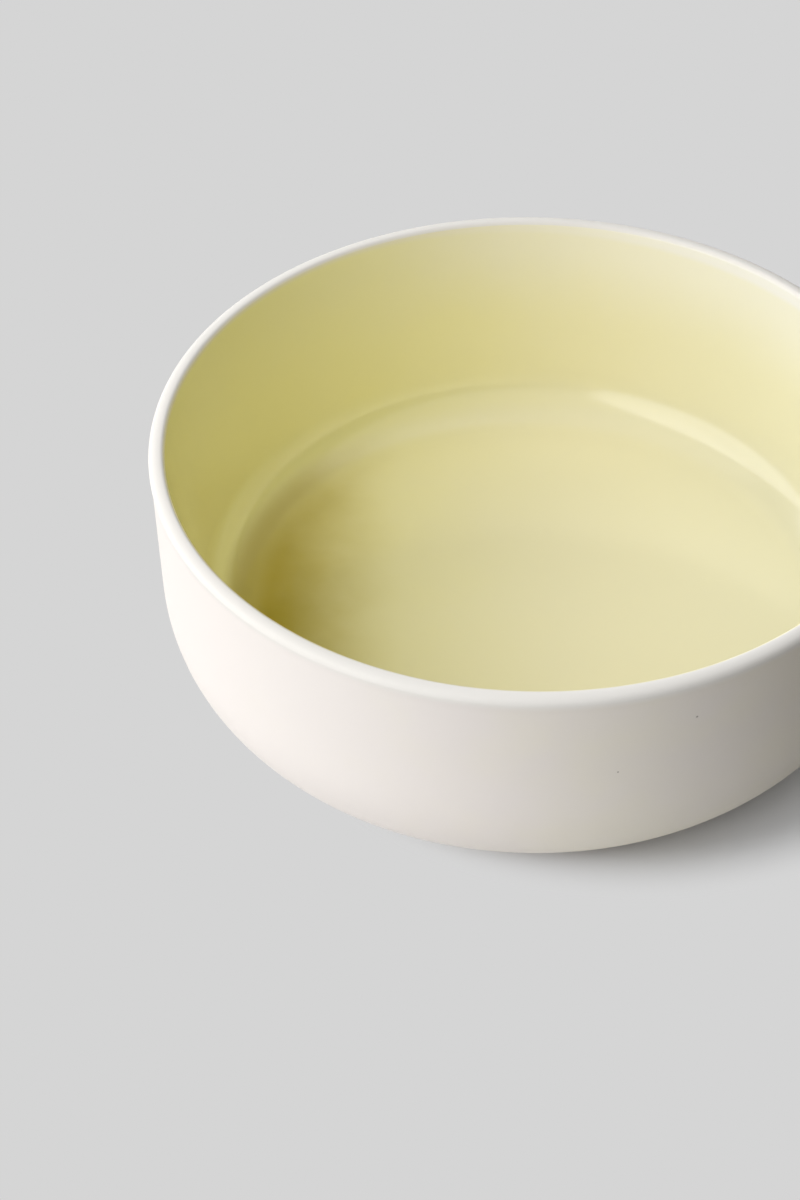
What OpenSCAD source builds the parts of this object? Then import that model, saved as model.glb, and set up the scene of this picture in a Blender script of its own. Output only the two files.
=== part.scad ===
// Latte bowl in glazed stoneware: low and wide, with a rolled lip and a big soft
// turn into the base. Satin white glaze outside and over the lip, glossy yellow
// glaze inside, and a bare foot ring to stand on.
// Millimetres, +Z up. The origin is on the bowl's axis, on the table.

/* [Bowl] */
// Outside diameter over the lip
rim_d = 140; // [130:1:150]
// Height from the table to the top of the lip
bowl_h = 52; // [50:0.5:56]
// Outward lean of the outside wall, in degrees
wall_lean = 3.5; // [2:0.5:5]
// Radius of the turn from the outside wall to the underside
turn_r = 27; // [25:0.5:28]
// How far the table plane cuts into the bottom of that turn
turn_cut = 1; // [0.6:0.1:1.4]

/* [Lip] */
// Radius of the lip's full outer shoulder
lip_out_r = 2.1; // [1.8:0.1:2.5]
// Radius of its tighter inner shoulder
lip_in_r = 0.9; // [0.7:0.1:1.2]
// How far the lip stands proud of the outside wall
lip_proud = 0.3; // [0.1:0.05:0.5]
// Where white meets yellow on the inner shoulder, in degrees from level outward
glaze_meet = 150; // [130:1:160]

/* [Inside] */
// Depth from the top of the lip to the floor
inside_depth = 38.5; // [36:0.5:40]
// Outward lean of the inside wall, in degrees
inside_lean = 12; // [9:0.5:14]
// Radius of the cove between wall and floor
cove_r = 9.6; // [7:0.2:13]

/* [Foot] */
// Outside diameter of the foot ring
foot_d = 104; // [102:0.5:106]
// Width of the foot ring
foot_w = 6; // [4:0.5:8]
// Height of the recess inside the foot ring
recess_h = 5; // [3.5:0.5:6]
// Radius of the turn round the recess
recess_turn_r = 3; // [1:0.5:3]
// Radius of the ring's two standing edges
foot_edge_r = 0.7; // [0.4:0.1:1]

/* [Glaze] */
// Thickness of every coat of glaze
glaze_t = 0.4; // [0.3:0.05:0.5]
// Bare clay left between a coat and the foot ring
glaze_clear = 0.8; // [0.5:0.1:1.2]

/* [Hidden] */
$fn = 160;

clay_colour = [0.80, 0.74, 0.65];
white_colour = [0.95, 0.93, 0.89];
yellow_colour = [0.94, 0.91, 0.73];

// Room past a surface for a cut
over = 1;

// The lip's roll: two shoulders that meet level at its top
out_c = [rim_d / 2 - lip_out_r, bowl_h - lip_out_r];
in_c = [out_c.x, bowl_h - lip_in_r];

// The outside wall is a straight line down to the turn
wall_top_r = rim_d / 2 - lip_proud;
function wall_r(z) = wall_top_r - (out_c.y - z) * tan(wall_lean);
turn_z = turn_r - turn_cut;
turn_c = [wall_r(turn_z) - turn_r / cos(wall_lean), turn_z];
wall_out = [cos(wall_lean), -sin(wall_lean)];

// The inside wall leaves the roll at a tangent and meets the cove at one
floor_z = bowl_h - inside_depth;
function inside_r(z) =
    in_c.x - lip_in_r / cos(inside_lean) - (in_c.y - z) * tan(inside_lean);
cove_z = floor_z + cove_r;
cove_c = [inside_r(cove_z) - cove_r / cos(inside_lean), cove_z];
inside_out = [cos(inside_lean), -sin(inside_lean)];

// The foot ring and the recess inside it, as bare clay
foot_r = foot_d / 2;
recess_r = foot_r - foot_w;
foot_top = turn_z - sqrt(pow(turn_r - glaze_t, 2) - pow(foot_r - turn_c.x, 2));

// A line that stays inside the clay, from the floor up to the lip's roll
diagonal = [cos(45), -sin(45)];
mid_floor = [0, (floor_z + recess_h) / 2];
mid_turn = (turn_c + turn_r * diagonal + cove_c + cove_r * diagonal) / 2;
mid_wall = [(wall_r(cove_z) + inside_r(cove_z)) / 2, cove_z];
meet_dir = [cos(glaze_meet), sin(glaze_meet)];
meet_end = in_c + 2 * lip_in_r * meet_dir;

// Section of everything within the outside skin, drawn in by inset
module outside(inset) {
    r = turn_r - inset;
    low = turn_z - r;
    out_r = lip_out_r - inset;
    in_r = lip_in_r - inset;
    intersection() {
        translate(out_c) circle(out_r);
        translate([out_c.x, out_c.y - out_r - over]) square([out_r + over, 2 * (out_r + over)]);
    }
    intersection() {
        translate(in_c) circle(in_r);
        translate([in_c.x - in_r - over, in_c.y - in_r - over]) square([in_r + over, 2 * (in_r + over)]);
    }
    intersection() {
        translate(turn_c) circle(r);
        translate([turn_c.x - over, low - over]) square([r + 2 * over, r + over]);
    }
    polygon([
        [0, low],
        [turn_c.x, low],
        turn_c,
        turn_c + r * wall_out,
        [wall_top_r - inset / cos(wall_lean), out_c.y],
        out_c,
        in_c,
        in_c - in_r * inside_out,
        [0, in_c.y]
    ]);
}

// Section of the hollow that holds the drink, let out by grow
module hollow(grow) {
    r = cove_r + grow;
    top = bowl_h + over;
    intersection() {
        translate(cove_c) circle(r);
        translate([cove_c.x - over, floor_z - grow - over]) square([r + 2 * over, r + over]);
    }
    polygon([
        [0, floor_z - grow],
        [cove_c.x, floor_z - grow],
        cove_c,
        cove_c + r * inside_out,
        [inside_r(top) + grow / cos(inside_lean), top],
        [0, top]
    ]);
}

// Section of the bowl's wall, less a skin of the given depth all round
module wall(skin) {
    difference() {
        outside(skin);
        hollow(skin);
    }
}

// Section of the recess under the floor, drawn in by coat
module recess(coat) {
    r = recess_r - coat;
    top = recess_h - coat;
    turn = recess_turn_r - coat;
    translate([0, -over]) square([r - turn, top + over]);
    translate([0, -over]) square([r, top - turn + over]);
    translate([r - turn, top - turn]) circle(turn);
}

// Cutter that rounds a standing edge at r; side is 1 where the clay lies outward
module edge_cut(r, side) {
    c = [r + side * foot_edge_r, foot_edge_r];
    size = foot_edge_r + over;
    difference() {
        translate([side > 0 ? c.x - size : c.x, -over]) square(size);
        translate(c) circle(foot_edge_r);
    }
}

// Section of both coats on the bowl, white and yellow together
module coats() {
    difference() {
        wall(0);
        wall(glaze_t);
    }
}

// The inner side of the bowl, parted from the outer side within the clay
module inner_side() {
    polygon([
        mid_floor,
        mid_turn,
        mid_wall,
        in_c,
        meet_end,
        [meet_end.x, bowl_h + over],
        [0, bowl_h + over]
    ]);
}

module clay_body() {
    color(clay_colour) rotate_extrude() difference() {
        union() {
            intersection() {
                wall(glaze_t);
                square([rim_d, bowl_h]);
            }
            translate([recess_r, 0]) square([foot_w, foot_top]);
        }
        recess(0);
        edge_cut(foot_r, -1);
        edge_cut(recess_r, 1);
    }
}

module outer_glaze() {
    color(white_colour) rotate_extrude() difference() {
        coats();
        inner_side();
        translate([0, -turn_r]) square([foot_r + glaze_clear, 2 * turn_r]);
    }
}

module inner_glaze() {
    color(yellow_colour) rotate_extrude() intersection() {
        coats();
        inner_side();
    }
}

module foot_well_glaze() {
    color(white_colour) rotate_extrude() difference() {
        recess(0);
        recess(glaze_t);
        translate([0, -2 * over]) square([rim_d, 2 * over + foot_edge_r + glaze_clear]);
    }
}

clay_body();
outer_glaze();
inner_glaze();
foot_well_glaze();
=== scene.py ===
import bpy
from math import acos, cos, degrees, pi, radians, sin, tan
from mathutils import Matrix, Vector


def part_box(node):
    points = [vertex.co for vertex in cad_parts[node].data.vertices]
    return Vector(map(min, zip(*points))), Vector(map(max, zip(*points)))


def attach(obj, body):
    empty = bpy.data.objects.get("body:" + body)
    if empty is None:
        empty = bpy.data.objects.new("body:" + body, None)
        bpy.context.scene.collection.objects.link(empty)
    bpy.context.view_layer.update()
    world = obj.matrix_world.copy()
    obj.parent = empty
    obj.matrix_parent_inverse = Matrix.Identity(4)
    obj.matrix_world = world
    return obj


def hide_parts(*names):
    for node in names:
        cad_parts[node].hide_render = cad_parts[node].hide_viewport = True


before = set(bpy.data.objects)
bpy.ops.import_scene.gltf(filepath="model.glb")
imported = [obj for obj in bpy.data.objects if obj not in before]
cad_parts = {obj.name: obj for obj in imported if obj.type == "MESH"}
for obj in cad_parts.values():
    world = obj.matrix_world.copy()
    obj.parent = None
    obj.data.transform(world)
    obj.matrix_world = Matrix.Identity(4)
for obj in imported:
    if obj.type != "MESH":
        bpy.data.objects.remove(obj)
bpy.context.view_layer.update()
print("frame loaded:", ", ".join(sorted(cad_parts)))

mm = 0.001
rimR = round(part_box("outer_glaze")[1][0], 4)  # over the lip
bowlH = round(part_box("outer_glaze")[1][2], 4)
floorLow = round(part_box("inner_glaze")[0][2], 4)  # clay under the yellow on the floor

# section of the bowl, shared by the clay and its coats of glaze
section = {
    "coat": 0.4 * mm,
    "lipWide": 2.1 * mm,  # rim's edge in to the top of the roll
    "lipOutR": 1.2 * mm,  # outer shoulder of the roll
    "lipInR": 0.9 * mm,  # tighter inner one
    "crownDeg": 65,  # where the outer shoulder turns into the flatter crown
    "lipProud": 0.3 * mm,  # the roll stands this far out from the wall
    "wallLean": radians(3.5),
    "turnR": 27 * mm,  # outside, from the wall to the underside
    "turnZ": 26 * mm,  # height of its centre
    "insideLean": radians(12),
    "coveR": 9.6 * mm,  # inside, from the wall to the floor
    "meetAngle": 150,  # where white meets yellow on the inner shoulder
    "steps": 240,  # round the bowl
    "weld": 0.002 * mm,
    "smooth": radians(40),  # sharper edges stay crisp
}


def polar(centre, radius, angle):
    return Vector((centre.x + radius * cos(radians(angle)), centre.y + radius * sin(radians(angle))))


coat = section["coat"]
lean = section["wallLean"]
leanDeg = degrees(lean)
insideLean = section["insideLean"]
insideDeg = degrees(insideLean)
outR = section["lipOutR"]
crownDeg = section["crownDeg"]
crownR = outR + (section["lipWide"] - outR) / cos(radians(crownDeg))
crownC = Vector((rimR - section["lipWide"], bowlH - crownR))
outC = polar(crownC, crownR - outR, crownDeg)
inR = section["lipInR"]
inC = Vector((crownC.x, bowlH - inR))
wallTop = Vector((rimR - section["lipProud"], bowlH - section["lipWide"]))
wallGap = (wallTop.x - (wallTop.y - outC.y) * tan(lean) - outC.x) * cos(lean)  # shoulder to wall
turnR = section["turnR"]
turnC = Vector((0, section["turnZ"]))
turnC.x = wallTop.x - (wallTop.y - turnC.y) * tan(lean) - turnR / cos(lean)
coveR = section["coveR"]
floorZ = floorLow + coat
coveC = Vector((0, floorZ + coveR))
coveC.x = inC.x - (inR + coveR) / cos(insideLean) - (inC.y - coveC.y) * tan(insideLean)
meet = section["meetAngle"]
insideMeet = 180 - insideDeg  # where the inside wall leaves the roll
clayMeet = -leanDeg - degrees(acos((wallGap - coat) / (outR - coat)))  # clay's roll meets its wall


# draws a half section with one point, then turns it
class Pen:
    def __init__(self, name, start):
        bpy.ops.object.select_all(action="DESELECT")
        bpy.ops.mesh.primitive_plane_add(size=mm)
        self.piece = bpy.context.object
        self.piece.name = name
        self.piece.data.name = name
        bpy.ops.object.mode_set(mode="EDIT")
        bpy.ops.mesh.merge(type="CENTER")  # one point to draw with
        bpy.ops.transform.translate(value=(start.x, 0, start.y))
        self.at = start

    def line(self, end, cuts=1):
        step = (end - self.at) / cuts
        for _ in range(cuts):
            bpy.ops.mesh.extrude_region_move(TRANSFORM_OT_translate={"value": (step.x, 0, step.y)})
        self.at = end

    def arc(self, centre, radius, startDeg, endDeg, steps):
        sweep = radians(endDeg - startDeg)
        bpy.ops.mesh.spin(steps=steps, angle=sweep, center=(centre.x, 0, centre.y), axis=(0, 1, 0))
        self.at = polar(centre, radius, endDeg)

    def turn(self):
        bpy.ops.mesh.select_all(action="SELECT")
        bpy.ops.mesh.spin(steps=section["steps"], angle=2 * pi, center=(0, 0, 0), axis=(0, 0, 1))
        bpy.ops.mesh.select_all(action="SELECT")
        bpy.ops.mesh.remove_doubles(threshold=section["weld"])
        bpy.ops.mesh.normals_make_consistent(inside=False)
        bpy.ops.object.mode_set(mode="OBJECT")
        bpy.ops.object.shade_smooth_by_angle(angle=section["smooth"])
        print(self.piece.name, len(self.piece.data.polygons), "faces")
        return self.piece


def fitPiece(piece, node, material):
    piece.data.materials.clear()
    piece.data.materials.append(material)
    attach(piece, "root")
    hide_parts(node)


# shader writing
class Wire:
    def __init__(self, finish, socket):
        self.finish = finish
        self.socket = socket

    def pick(self, name):
        return Wire(self.finish, self.socket.node.outputs[name])

    def math(self, operation, first, second):
        return self.finish.add("ShaderNodeMath", {"operation": operation}, {0: first, 1: second})

    def __add__(self, other):
        return self.math("ADD", self, other)

    def __radd__(self, other):
        return self.math("ADD", other, self)

    def __sub__(self, other):
        return self.math("SUBTRACT", self, other)

    def __rsub__(self, other):
        return self.math("SUBTRACT", other, self)

    def __mul__(self, other):
        return self.math("MULTIPLY", self, other)

    def __rmul__(self, other):
        return self.math("MULTIPLY", other, self)

    def __pow__(self, other):
        return self.math("POWER", self, other)

    def __rpow__(self, other):
        return self.math("POWER", other, self)

    def larger(self, other):
        return self.math("MAXIMUM", self, other)


class Finish:
    def __init__(self, name):
        self.material = bpy.data.materials.new(name)
        self.material.use_nodes = True
        self.tree = self.material.node_tree
        self.tree.nodes.clear()

    def add(self, kind, settings=None, sockets=None, out=0):
        node = self.tree.nodes.new(kind)
        for key, value in (settings or {}).items():
            setattr(node, key, value)
        for key, value in (sockets or {}).items():
            if isinstance(value, Wire):
                self.tree.links.new(value.socket, node.inputs[key])
            else:
                node.inputs[key].default_value = value
        return Wire(self, node.outputs[out]) if len(node.outputs) else node

    def place(self):
        return self.add("ShaderNodeTexCoord", out="Object")

    def split(self, vector):
        return self.add("ShaderNodeSeparateXYZ", {}, {0: vector})

    def distance(self, first, second):
        settings = {"operation": "DISTANCE"}
        return self.add("ShaderNodeVectorMath", settings, {0: first, 1: second}, "Value")

    def noise(self, place, size, detail=2.0, roughness=0.5):
        sockets = {"Vector": place, "Scale": 1 / size, "Detail": detail, "Roughness": roughness}
        return self.add("ShaderNodeTexNoise", {}, sockets, "Fac")

    def ramp(self, value, low, high, fromValue=0.0, toValue=1.0):
        sockets = {"Value": value, "From Min": low, "From Max": high}
        sockets.update({"To Min": fromValue, "To Max": toValue})
        return self.add("ShaderNodeMapRange", {"interpolation_type": "SMOOTHSTEP"}, sockets)

    def fall(self, value, low, high, top=1.0, bottom=0.0):
        return self.ramp(value, low, high, top, bottom)

    def blend(self, share, first, second, kind="MIX"):
        settings = {"data_type": "RGBA", "blend_type": kind}
        return self.add("ShaderNodeMix", settings, {"Factor": share, "A": first, "B": second}, "Result")

    def bump(self, height, strength, depth):
        sockets = {"Height": height, "Strength": strength, "Distance": depth}
        return self.add("ShaderNodeBump", {}, sockets)

    def surface(self, sockets):
        shader = self.add("ShaderNodeBsdfPrincipled", {}, sockets)
        self.add("ShaderNodeOutputMaterial", {}, {"Surface": shader})
        return self.material


# white glaze: satin, with a random warm drift and painted warm shade towards +X, painted cool light and
# a painted highlight on the lip, stained where the yellow ran over it with painted shade on that stain
# at the front left, two pinholes
whiteGlaze = {
    "colour": (0.862, 0.812, 0.772, 1),
    "warmToneAndShade": (0.878, 0.832, 0.726, 1),
    "warmToneAndShadeFrom": (0.3, 0.85),
    "warmShadeLean": 5,  # painted warm shade towards +X, the side away from the soft box
    "cloudSize": 22 * mm,  # slow drift in the coat
    "roll": (0.848, 0.822, 0.777, 1),  # painted cool overhead light on the lip
    "lipFrontLight": (0.925, 0.903, 0.862, 1),  # painted highlight on the lip at the front
    "lipFrontLightFrom": (0, 95 * mm),
    "rollBand": (bowlH - 3.2 * mm, bowlH - 1.2 * mm),
    "stain": (0.930, 0.870, 0.620, 1),  # yellow run over the inner shoulder
    "shadedStain": (0.720, 0.640, 0.360, 1),  # the stain in painted shade, on the inner shoulder at the front left
    "runBand": (inC.x - 0.6 * mm, inC.x - 0.1 * mm),
    "runWander": 0.3 * mm,
    "runLean": 0.003,  # further over at the front
    "runBack": (0, 70 * mm),  # and gone at the back
    "stainShadeX": (-50 * mm, 35 * mm),
    "stainShadeY": (-50 * mm, -10 * mm),
    "thin": (0.700, 0.620, 0.500, 1),  # clay showing through at the foot
    "thinBand": (2.4 * mm, 3.4 * mm),
    "thinWander": 1.2 * mm,
    "thinShare": 0.8,
    "roughness": 0.52,
    "roughWander": 0.08,
    "shine": 0.3,  # a dull satin
    "peelSize": 1.6 * mm,  # fine orange peel
    "pinhole": (0.16, 0.12, 0.09, 1),
    "pinholeShare": 0.65,
    "pinholeEdge": (0.5, 1.6),  # soft edge, in radii
    "pinholes": ((13.7, -67.2, 32.9, 0.16), (27.3, -63.6, 42.6, 0.2)),  # x, y, z and radius in mm
}


def makeWhiteGlaze():
    f = Finish("whiteGlaze")
    place = f.place()
    spot = f.split(place)
    x, y, height = spot.pick("X"), spot.pick("Y"), spot.pick("Z")
    cloud = f.noise(place, whiteGlaze["cloudSize"], detail=3.0)
    peel = f.noise(place, whiteGlaze["peelSize"])
    # warm tone drifts at random, plus painted warm shade leaning towards +X, away from the soft box
    warmToneAndShade = f.ramp(cloud + x * whiteGlaze["warmShadeLean"], *whiteGlaze["warmToneAndShadeFrom"])
    colour = f.blend(warmToneAndShade, whiteGlaze["colour"], whiteGlaze["warmToneAndShade"])
    # painted cool overhead light on the top of the lip
    roll = f.ramp(height, *whiteGlaze["rollBand"])
    # painted highlight on the front of the lip
    lipFrontLight = f.ramp(x - y, *whiteGlaze["lipFrontLightFrom"])
    colour = f.blend(roll, colour, f.blend(lipFrontLight, whiteGlaze["roll"], whiteGlaze["lipFrontLight"]))
    radius = (x * x + y * y) ** 0.5
    reach = radius + y * whiteGlaze["runLean"] + cloud * whiteGlaze["runWander"]
    run = f.fall(reach, *whiteGlaze["runBand"]) * roll * f.fall(x + y, *whiteGlaze["runBack"])
    # painted shade on the stain at the front left, where the inner shoulder faces away from the soft
    # box
    stainShade = f.fall(x, *whiteGlaze["stainShadeX"]) * f.fall(y, *whiteGlaze["stainShadeY"])
    colour = f.blend(run, colour, f.blend(stainShade, whiteGlaze["stain"], whiteGlaze["shadedStain"]))
    foot = height + cloud * whiteGlaze["thinWander"]
    thin = f.fall(foot, *whiteGlaze["thinBand"], whiteGlaze["thinShare"])
    colour = f.blend(thin, colour, whiteGlaze["thin"])
    for pinX, pinY, pinZ, pinR in whiteGlaze["pinholes"]:
        gap = f.distance(place, (pinX * mm, pinY * mm, pinZ * mm))
        edge = [radii * pinR * mm for radii in whiteGlaze["pinholeEdge"]]
        mark = f.fall(gap, *edge, whiteGlaze["pinholeShare"])
        colour = f.blend(mark, colour, whiteGlaze["pinhole"])
    return f.surface({
        "Base Color": colour,
        "Roughness": whiteGlaze["roughness"] + cloud * whiteGlaze["roughWander"],
        "Specular IOR Level": whiteGlaze["shine"],
        "Normal": f.bump(peel, strength=0.05, depth=0.1 * mm),
    })


# yellow glaze: glossy, thin and creamy at the lip, with painted shade and light across it from -X to
# +X, and a painted shadow of the left wall on the floor
yellowGlaze = {
    "shadedSide": (0.965, 0.900, 0.355, 1),  # deeper yellow: painted shade on the side away from the soft box
    "light": (0.905, 0.848, 0.556, 1),
    "lightFrom": (-56 * mm, 36 * mm),
    "lightWander": 12 * mm,
    "lowBand": (floorZ + 0.2 * mm, floorZ + 3 * mm),  # floor and the foot of the cove
    "lowShift": 15 * mm,  # the painted lit side starts sooner on the floor than on the wall
    # painted shadow of the left wall on the floor beside it
    "wallShadow": (0.500, 0.390, 0.040, 1),
    "wallShadowFrom": (-48 * mm, -19 * mm),
    "wallShadowWander": 8 * mm,
    "wallShadowRim": (48 * mm, 53 * mm),  # weaker up the cove
    "wallShadowLeft": 0.75,  # share left there
    "thin": (0.945, 0.905, 0.720, 1),  # paler towards the lip: thinner glaze, with painted light on the upper wall of the lit side
    "thinBand": (bowlH - 20 * mm, bowlH + 1 * mm),
    "thinWander": 4 * mm,
    "cream": (0.955, 0.925, 0.830, 1),  # under the roll, towards +X
    "straw": (0.935, 0.880, 0.640, 1),  # and towards -X
    "creamFrom": (-35 * mm, 35 * mm),
    "fringe": 1.0 * mm,  # height of the creamy band under the roll
    "fringeOver": 0.3 * mm,  # and past the seam
    "fringeFrom": (-60 * mm, 45 * mm),
    "fringeDrop": (-0.3 * mm, 1.6 * mm),  # it hangs lower towards +X
    "fringeWander": 0.4 * mm,
    "litSideDimmed": (0.905, 0.925, 1.0, 1),  # painted shade: darker and less yellow on the lit +X side
    "litSideDimmedFrom": (8 * mm, 60 * mm),
    "cloudSize": 14 * mm,
    "waveSize": 9 * mm,  # slow ripple in the gloss
    "roughness": 0.13,
    "roughWander": 0.03,
    "gloss": 1.6,  # index of refraction
}


def makeYellowGlaze():
    f = Finish("yellowGlaze")
    place = f.place()
    spot = f.split(place)
    x, y, height = spot.pick("X"), spot.pick("Y"), spot.pick("Z")
    radius = (x * x + y * y) ** 0.5
    cloud = f.noise(place, yellowGlaze["cloudSize"], detail=3.0)
    wave = f.noise(place, yellowGlaze["waveSize"], detail=1.0)
    low = f.fall(height, *yellowGlaze["lowBand"])
    across = x + cloud * yellowGlaze["lightWander"] + low * yellowGlaze["lowShift"]
    # painted shade and light: deeper yellow on the shaded -X side, paler towards the lit +X side
    light = f.ramp(across, *yellowGlaze["lightFrom"])
    colour = f.blend(light, yellowGlaze["shadedSide"], yellowGlaze["light"])
    # painted shadow of the left wall on the floor near it, weaker up the cove
    wallShadowShare = low * f.fall(x + cloud * yellowGlaze["wallShadowWander"], *yellowGlaze["wallShadowFrom"])
    wallShadowShare = wallShadowShare * f.fall(radius, *yellowGlaze["wallShadowRim"], bottom=yellowGlaze["wallShadowLeft"])
    colour = f.blend(wallShadowShare, colour, yellowGlaze["wallShadow"])
    thin = f.ramp(height + cloud * yellowGlaze["thinWander"], *yellowGlaze["thinBand"])
    # paler near the lip only on the lit side: thin glaze plus painted light
    colour = f.blend(thin * light, colour, yellowGlaze["thin"])
    seam = polar(inC, inR, meet).y
    cream = f.ramp(x, *yellowGlaze["creamFrom"])
    drop = f.ramp(x, *yellowGlaze["fringeFrom"], *yellowGlaze["fringeDrop"])
    drop = drop + cloud * yellowGlaze["fringeWander"]
    fringe = f.ramp(height + drop, seam - yellowGlaze["fringe"], seam + yellowGlaze["fringeOver"])
    colour = f.blend(fringe, colour, f.blend(cream, yellowGlaze["straw"], yellowGlaze["cream"]))
    # painted shade on the lit +X side, where the soft box lights it most
    litSideDimmed = f.ramp(x, *yellowGlaze["litSideDimmedFrom"])
    colour = f.blend(litSideDimmed, colour, yellowGlaze["litSideDimmed"], "MULTIPLY")
    return f.surface({
        "Base Color": colour,
        "Roughness": yellowGlaze["roughness"] + cloud * yellowGlaze["roughWander"],
        "IOR": yellowGlaze["gloss"],
        "Normal": f.bump(wave, strength=0.03, depth=0.1 * mm),
    })


# bare fired clay on the foot ring
bareClay = {
    "colour": (0.610, 0.520, 0.400, 1),
    "grog": (0.430, 0.340, 0.240, 1),
    "grogFrom": (0.62, 0.85),
    "grainSize": 0.7 * mm,
    "patchSize": 9 * mm,
    "patchShare": 0.3,
    "roughness": 0.8,
    "roughWander": 0.15,
}


def makeBareClay():
    f = Finish("bareClay")
    place = f.place()
    grain = f.noise(place, bareClay["grainSize"], detail=4.0, roughness=0.7)
    patch = f.noise(place, bareClay["patchSize"])
    share = f.ramp(grain + patch * bareClay["patchShare"], *bareClay["grogFrom"])
    colour = f.blend(share, bareClay["colour"], bareClay["grog"])
    return f.surface({
        "Base Color": colour,
        "Roughness": bareClay["roughness"] + grain * bareClay["roughWander"],
        "Normal": f.bump(grain, strength=0.35, depth=0.15 * mm),
    })


# clay body with its foot ring
claySize = {
    "footR": 52 * mm,
    "recessR": 46 * mm,
    "recessH": 5 * mm,
    "recessTurn": 3 * mm,
    "edgeR": 0.7 * mm,  # standing edges of the ring
}


def makeClayBody(material):
    footR, recessR, edgeR = claySize["footR"], claySize["recessR"], claySize["edgeR"]
    bend = claySize["recessTurn"]
    bendC = Vector((recessR - bend, claySize["recessH"] - bend))
    clayTurn = turnR - coat
    footMeet = -degrees(acos((footR - turnC.x) / clayTurn))
    pen = Pen("clayBody", Vector((0, claySize["recessH"])))
    pen.line(Vector((bendC.x, pen.at.y)), cuts=6)
    pen.arc(bendC, bend, 90, 0, steps=10)
    pen.line(Vector((recessR, edgeR)), cuts=2)
    pen.arc(Vector((recessR + edgeR, edgeR)), edgeR, 180, 270, steps=6)
    pen.line(Vector((footR - edgeR, 0)), cuts=4)
    pen.arc(Vector((footR - edgeR, edgeR)), edgeR, -90, 0, steps=6)
    pen.line(polar(turnC, clayTurn, footMeet), cuts=2)
    pen.arc(turnC, clayTurn, footMeet, -leanDeg, steps=24)
    pen.line(polar(outC, outR - coat, clayMeet), cuts=8)
    pen.arc(outC, outR - coat, clayMeet, crownDeg, steps=12)
    pen.arc(crownC, crownR - coat, crownDeg, 90, steps=6)
    pen.arc(inC, inR - coat, 90, insideMeet, steps=8)
    pen.line(polar(coveC, coveR + coat, -insideDeg), cuts=8)
    pen.arc(coveC, coveR + coat, -insideDeg, -90, steps=16)
    pen.line(Vector((0, pen.at.y)), cuts=6)
    fitPiece(pen.turn(), "clay_body", material)


# white coat over the outside wall and the roll
outerCoat = {
    "clear": 0.8 * mm,  # bare clay between coat and foot
    "underLip": 12 * mm,  # soft hollow where the roll meets the wall
}


def makeOuterGlaze(material):
    endR = claySize["footR"] + outerCoat["clear"]
    endDeg = -degrees(acos((endR - turnC.x) / (turnR - coat / 2)))
    hollowR = outerCoat["underLip"]
    rollDeg = -leanDeg - degrees(acos((hollowR + wallGap) / (hollowR + outR)))
    hollowC = polar(outC, outR + hollowR, rollDeg)
    pen = Pen("outerGlaze", polar(turnC, turnR - coat, endDeg))
    endC = polar(turnC, turnR - coat / 2, endDeg)
    pen.arc(endC, coat / 2, endDeg + 180, endDeg + 360, steps=8)  # rounded end
    pen.arc(turnC, turnR, endDeg, -leanDeg, steps=32)
    pen.line(polar(hollowC, hollowR, 180 - leanDeg), cuts=10)
    pen.arc(hollowC, hollowR, 180 - leanDeg, rollDeg + 180, steps=8)
    pen.arc(outC, outR, rollDeg, crownDeg, steps=14)
    pen.arc(crownC, crownR, crownDeg, 90, steps=10)
    pen.arc(inC, inR, 90, meet, steps=10)
    pen.line(polar(inC, inR - coat, meet))
    pen.arc(inC, inR - coat, meet, 90, steps=6)
    pen.arc(crownC, crownR - coat, 90, crownDeg, steps=6)
    pen.arc(outC, outR - coat, crownDeg, clayMeet, steps=10)
    pen.line(polar(turnC, turnR - coat, -leanDeg), cuts=6)
    pen.arc(turnC, turnR - coat, -leanDeg, endDeg, steps=20)
    fitPiece(pen.turn(), "outer_glaze", material)


# yellow coat over the inside
innerCoat = {"floorCuts": 10, "wallCuts": 12, "coveSteps": 24}


def makeInnerGlaze(material):
    pen = Pen("innerGlaze", Vector((0, floorZ)))
    pen.line(Vector((coveC.x, floorZ)), cuts=innerCoat["floorCuts"])
    pen.arc(coveC, coveR, -90, -insideDeg, steps=innerCoat["coveSteps"])
    pen.line(polar(inC, inR, insideMeet), cuts=innerCoat["wallCuts"])
    pen.arc(inC, inR, insideMeet, meet, steps=4)
    pen.line(polar(inC, inR - coat, meet))
    pen.arc(inC, inR - coat, meet, insideMeet, steps=4)
    pen.line(polar(coveC, coveR + coat, -insideDeg), cuts=6)
    pen.arc(coveC, coveR + coat, -insideDeg, -90, steps=12)
    pen.line(Vector((0, pen.at.y)), cuts=4)
    fitPiece(pen.turn(), "inner_glaze", material)


# white coat in the recess under the floor
wellCoat = {"endZ": 1.5 * mm}  # lower end, clear of the table


def makeFootWellGlaze(material):
    bend = claySize["recessTurn"]
    bendC = Vector((claySize["recessR"] - bend, claySize["recessH"] - bend))
    endC = Vector((claySize["recessR"] - coat / 2, wellCoat["endZ"] + coat / 2))
    pen = Pen("footWellGlaze", Vector((0, claySize["recessH"] - coat)))
    pen.line(Vector((bendC.x, pen.at.y)), cuts=6)
    pen.arc(bendC, bend - coat, 90, 0, steps=10)
    pen.line(polar(endC, coat / 2, 180))
    pen.arc(endC, coat / 2, 180, 360, steps=6)
    pen.line(polar(bendC, bend, 0))
    pen.arc(bendC, bend, 0, 90, steps=10)
    pen.line(Vector((0, pen.at.y)), cuts=4)
    fitPiece(pen.turn(), "foot_well_glaze", material)


whiteFinish = makeWhiteGlaze()
yellowFinish = makeYellowGlaze()
clayFinish = makeBareClay()
print("finishes made")
makeClayBody(clayFinish)
makeOuterGlaze(whiteFinish)
makeInnerGlaze(yellowFinish)
makeFootWellGlaze(whiteFinish)
print("pieces made")

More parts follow.
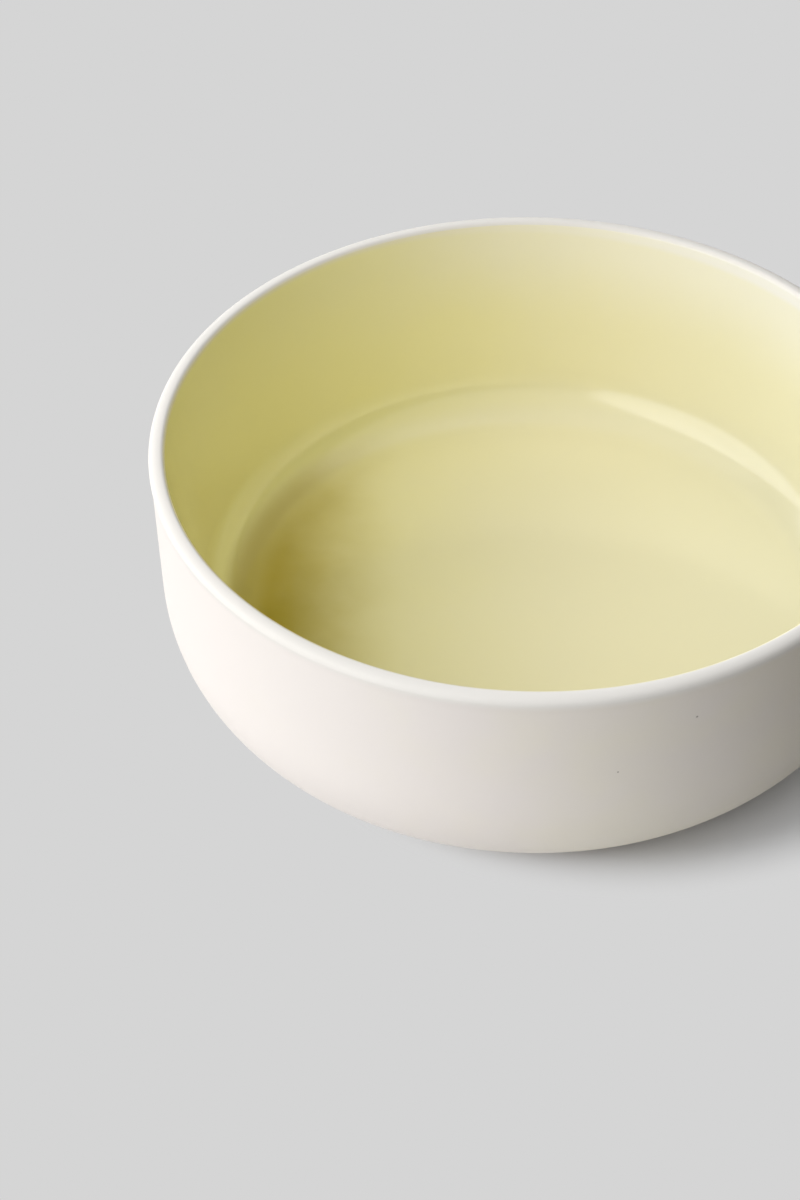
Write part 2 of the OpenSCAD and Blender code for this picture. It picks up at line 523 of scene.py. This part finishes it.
# floor: lit paper round the bowl, an even tone further off, another one for the light it throws back,
# with painted shade in that towards +X
floorTone = {
    "size": 8.0,
    "paper": (0.750, 0.758, 0.773, 1),
    "even": (0.665, 0.665, 0.665, 1),
    "bounce": (0.86, 0.86, 0.86, 1),
    "dim": (0.15, 0.13, 0.10, 1),  # painted shade in the light the floor throws back, on the side away from the soft box
    "dimFrom": (10 * mm, 130 * mm),
    "centre": (18.8 * mm, 8 * mm, 0),  # of the shaded patch
    "fade": (59 * mm, 73 * mm),
}


def makeFloor():
    f = Finish("floorPaper")
    rays = f.add("ShaderNodeLightPath")
    seen = rays.pick("Is Camera Ray").larger(rays.pick("Is Glossy Ray"))
    seen = seen.larger(rays.pick("Is Transmission Ray"))
    place = f.place()
    # painted shade in the thrown-back light towards +X
    dim = f.ramp(f.split(place).pick("X"), *floorTone["dimFrom"])
    tone = f.blend(seen, f.blend(dim, floorTone["bounce"], floorTone["dim"]), floorTone["paper"])
    paper = f.add("ShaderNodeBsdfDiffuse", {}, {"Color": tone})
    even = f.add("ShaderNodeEmission", {}, {"Color": floorTone["even"]})
    share = f.ramp(f.distance(place, floorTone["centre"]), *floorTone["fade"]) * seen
    mixed = f.add("ShaderNodeMixShader", {}, {0: share, 1: paper, 2: even})
    f.add("ShaderNodeOutputMaterial", {}, {"Surface": mixed})
    bpy.ops.object.select_all(action="DESELECT")
    bpy.ops.mesh.primitive_plane_add(size=floorTone["size"])
    floor = bpy.context.object
    floor.name = "floor"
    floor.data.materials.append(f.material)


makeFloor()

# studio: a broad soft box on the left, a panel behind it, a wide dim one overhead, a faint fill on
# the right, and a dark room; angles in degrees as seen from the bowl
softBox = {"azimuth": -68, "height": 26, "halfWide": 42, "halfTall": 31, "glow": 2.14}
backPanel = {"azimuth": -147, "height": 24, "halfWide": 31, "halfTall": 20, "glow": 2.4}
overPanel = {"azimuth": -5, "height": 74, "halfWide": 46, "halfTall": 46, "glow": 0.66}
fillPanel = {"azimuth": 125, "height": 55, "halfWide": 27, "halfTall": 27, "glow": 0.27}
room = {"reach": 4.0, "grey": (0.04, 0.04, 0.04, 1)}


def makeLamp(name, lampSize):
    lamp = bpy.data.lights.new(name, "AREA")
    lamp.shape = "ELLIPSE"
    lamp.size = 2 * room["reach"] * tan(radians(lampSize["halfWide"]))
    lamp.size_y = 2 * room["reach"] * tan(radians(lampSize["halfTall"]))
    face = lamp.size * lamp.size_y * pi / 4
    lamp.energy = lampSize["glow"] * pi * face  # the same brightness at any size
    panel = bpy.data.objects.new(name, lamp)
    bpy.context.scene.collection.objects.link(panel)
    turn, lift = radians(lampSize["azimuth"]), radians(lampSize["height"])
    out = Vector((sin(turn) * cos(lift), -cos(turn) * cos(lift), sin(lift)))
    panel.location = out * room["reach"]
    panel.rotation_euler = out.to_track_quat("Z", "Y").to_euler()


def makeRoom():
    world = bpy.data.worlds.new("room")
    world.use_nodes = True
    world.node_tree.nodes["Background"].inputs["Color"].default_value = room["grey"]
    bpy.context.scene.world = world


makeLamp("softBox", softBox)
makeLamp("backPanel", backPanel)
makeLamp("overPanel", overPanel)
makeLamp("fillPanel", fillPanel)
makeRoom()

# camera at the photograph's angle
lens = {
    "focal": 162,
    "sensor": 36,
    "pitch": 40.64,  # degrees down
    "spot": (-24.3 * mm, -762.2 * mm, 668.9 * mm),
}


def makeCamera():
    data = bpy.data.cameras.new("camera")
    data.lens = lens["focal"]
    data.sensor_width = lens["sensor"]
    camera = bpy.data.objects.new("camera", data)
    bpy.context.scene.collection.objects.link(camera)
    camera.location = lens["spot"]
    camera.rotation_euler = (radians(90 - lens["pitch"]), 0, 0)
    bpy.context.scene.camera = camera


makeCamera()
bpy.context.scene.view_settings.view_transform = "Standard"
print("floor, lights and camera set")
